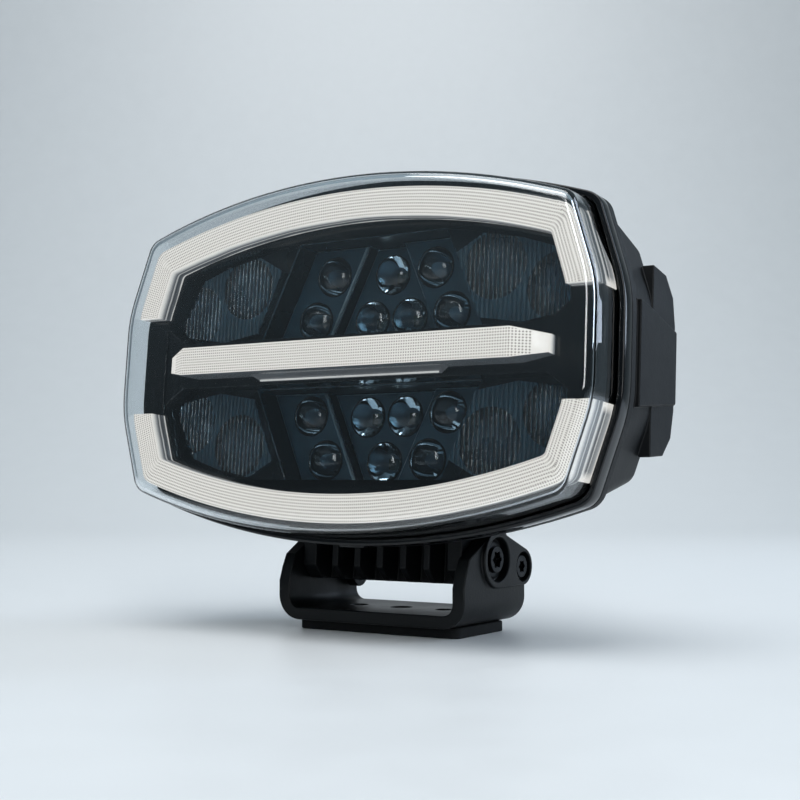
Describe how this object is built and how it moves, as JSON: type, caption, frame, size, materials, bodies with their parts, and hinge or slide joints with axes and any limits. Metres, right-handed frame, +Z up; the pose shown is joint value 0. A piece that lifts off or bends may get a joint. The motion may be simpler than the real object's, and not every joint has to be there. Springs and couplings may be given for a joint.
{
  "type": "driving light",
  "caption": "Wide oval vehicle driving light: clear lens over clustered optics and glowing light guides, finned housing on a tilting U bracket with a rubber pad.",
  "frame": {"origin": "on the axis of the bracket's middle mounting hole, at the underside of the rubber pad", "axes": "+X across the lamp to the right as seen from the front, the beam leaves along -Y, +Z up along the mounting hole"},
  "size_m": [0.274, 0.1119, 0.2192],
  "materials": {
    "clear_lens": "clear polycarbonate, hard coated",
    "seal_rubber": "moulded silicone",
    "gloss_black": "gloss black moulding",
    "carrier_black": "satin black moulding",
    "lit_white": "white light guide, lit",
    "board_white": "white solder mask",
    "board_green": "green solder mask",
    "led_yellow": "phosphor over a white package",
    "optic_clear": "clear moulded optic",
    "reflector_bright": "vacuum-metallised bowl",
    "led_board_alu": "aluminium-core board, white mask",
    "driver_dark": "coils, capacitors and chip bodies",
    "housing_black": "die cast, matte black powder coat",
    "cover_black": "matte black powder coat",
    "vent_black": "moulded nylon",
    "screw_steel": "stainless steel",
    "bolt_black": "black oxide",
    "bracket_black": "matte black powder coat",
    "pad_rubber": "moulded rubber",
    "washer_nylon": "nylon friction washer"
  },
  "bodies": {
    "stand": {"bracket": "bracket_black", "base_pad": "pad_rubber", "lock_bolts": "bolt_black", "lock_nuts": "screw_steel"},
    "head": {"bar_beam": "gloss_black", "bar_board": "board_white", "breather_vent": "vent_black", "carrier_screws": "screw_steel", "centre_light_bar": "lit_white", "cover_screws": "screw_steel", "cover_seal": "seal_rubber", "driver_board": "board_green", "driver_parts": "driver_dark", "driver_screws": "screw_steel", "front_bezel": "gloss_black", "gland_body": "vent_black", "gland_nut": "vent_black", "gland_plug": "seal_rubber", "guide_chips": "led_yellow", "lens_frame": "gloss_black", "lens_seal": "seal_rubber", "lower_guide_board": "board_white", "lower_left_pair_lens": "optic_clear", "lower_left_reflector": "reflector_bright", "lower_left_ribbed_cover": "optic_clear", "lower_light_guide": "lit_white", "lower_right_pair_lens": "optic_clear", "lower_right_reflector": "reflector_bright", "lower_right_ribbed_cover": "optic_clear", "lower_trio_lens": "optic_clear", "main_led_board": "led_board_alu", "optics_carrier": "carrier_black", "outer_lens": "clear_lens", "pivot_bolts": "bolt_black", "pivot_washers": "washer_nylon", "power_leds": "led_yellow", "rear_cover": "cover_black", "rear_housing": "housing_black", "upper_guide_board": "board_white", "upper_left_pair_lens": "optic_clear", "upper_left_reflector": "reflector_bright", "upper_left_ribbed_cover": "optic_clear", "upper_light_guide": "lit_white", "upper_right_pair_lens": "optic_clear", "upper_right_reflector": "reflector_bright", "upper_right_ribbed_cover": "optic_clear", "upper_trio_lens": "optic_clear"}
  },
  "joints": [
    {"name": "head_tilt", "type": "hinge", "parent": "stand", "child": "head", "pos_m": [0, 0, 0.036], "axis": [1, 0, 0], "range_deg": [-10, 15]}
  ]
}
